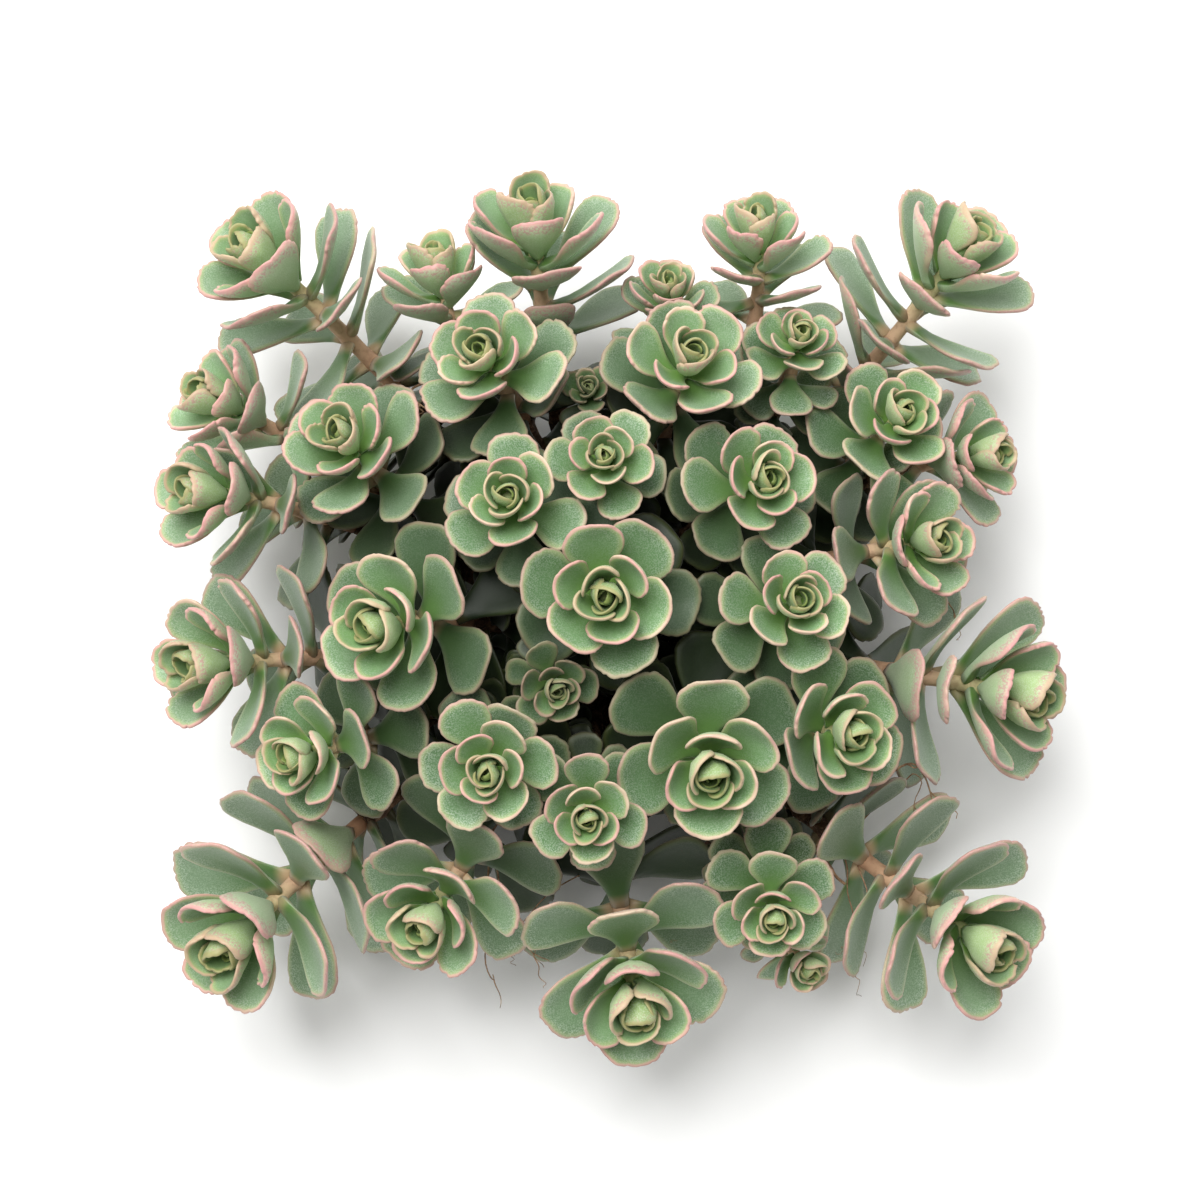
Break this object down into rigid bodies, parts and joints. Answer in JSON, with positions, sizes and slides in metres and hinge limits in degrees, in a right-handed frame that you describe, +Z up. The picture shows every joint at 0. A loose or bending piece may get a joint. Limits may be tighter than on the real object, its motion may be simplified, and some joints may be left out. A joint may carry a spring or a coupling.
{
  "type": "stonecrop clump",
  "caption": "Clump of a low fleshy stonecrop: leafy stems that end in rosettes of flat spoon-shaped leaves, spreading from one woody crown with no pot.",
  "frame": {"origin": "centre of the flat underside of the woody crown, on the surface that the clump rests on", "axes": "+Z up, away from the surface; -Y is the side that faces the viewer, +X to the viewer's right"},
  "size_m": [0.2248, 0.2203, 0.1025],
  "materials": {
    "leaf": "matt, waxy bloom on a thick grey-green leaf with thin rose-buff margins",
    "bark": "dry brown bark"
  },
  "bodies": {
    "root": {"rootstock": "bark", "leafy_stem_01": "leaf", "leafy_stem_02": "leaf", "leafy_stem_03": "leaf", "leafy_stem_04": "leaf", "leafy_stem_05": "leaf", "leafy_stem_06": "leaf", "leafy_stem_07": "leaf", "leafy_stem_08": "leaf", "leafy_stem_09": "leaf", "leafy_stem_10": "leaf", "leafy_stem_11": "leaf", "leafy_stem_12": "leaf", "leafy_stem_13": "leaf", "leafy_stem_14": "leaf", "leafy_stem_15": "leaf", "leafy_stem_16": "leaf", "leafy_stem_17": "leaf", "leafy_stem_18": "leaf", "leafy_stem_19": "leaf", "leafy_stem_20": "leaf", "leafy_stem_21": "leaf", "leafy_stem_22": "leaf", "leafy_stem_23": "leaf", "leafy_stem_24": "leaf", "leafy_stem_25": "leaf", "leafy_stem_26": "leaf", "leafy_stem_27": "leaf", "leafy_stem_28": "leaf", "leafy_stem_29": "leaf", "leafy_stem_30": "leaf", "leafy_stem_31": "leaf", "leafy_stem_32": "leaf", "leafy_stem_33": "leaf", "leafy_stem_34": "leaf", "leafy_stem_35": "leaf", "leafy_stem_36": "leaf"}
  },
  "joints": []
}
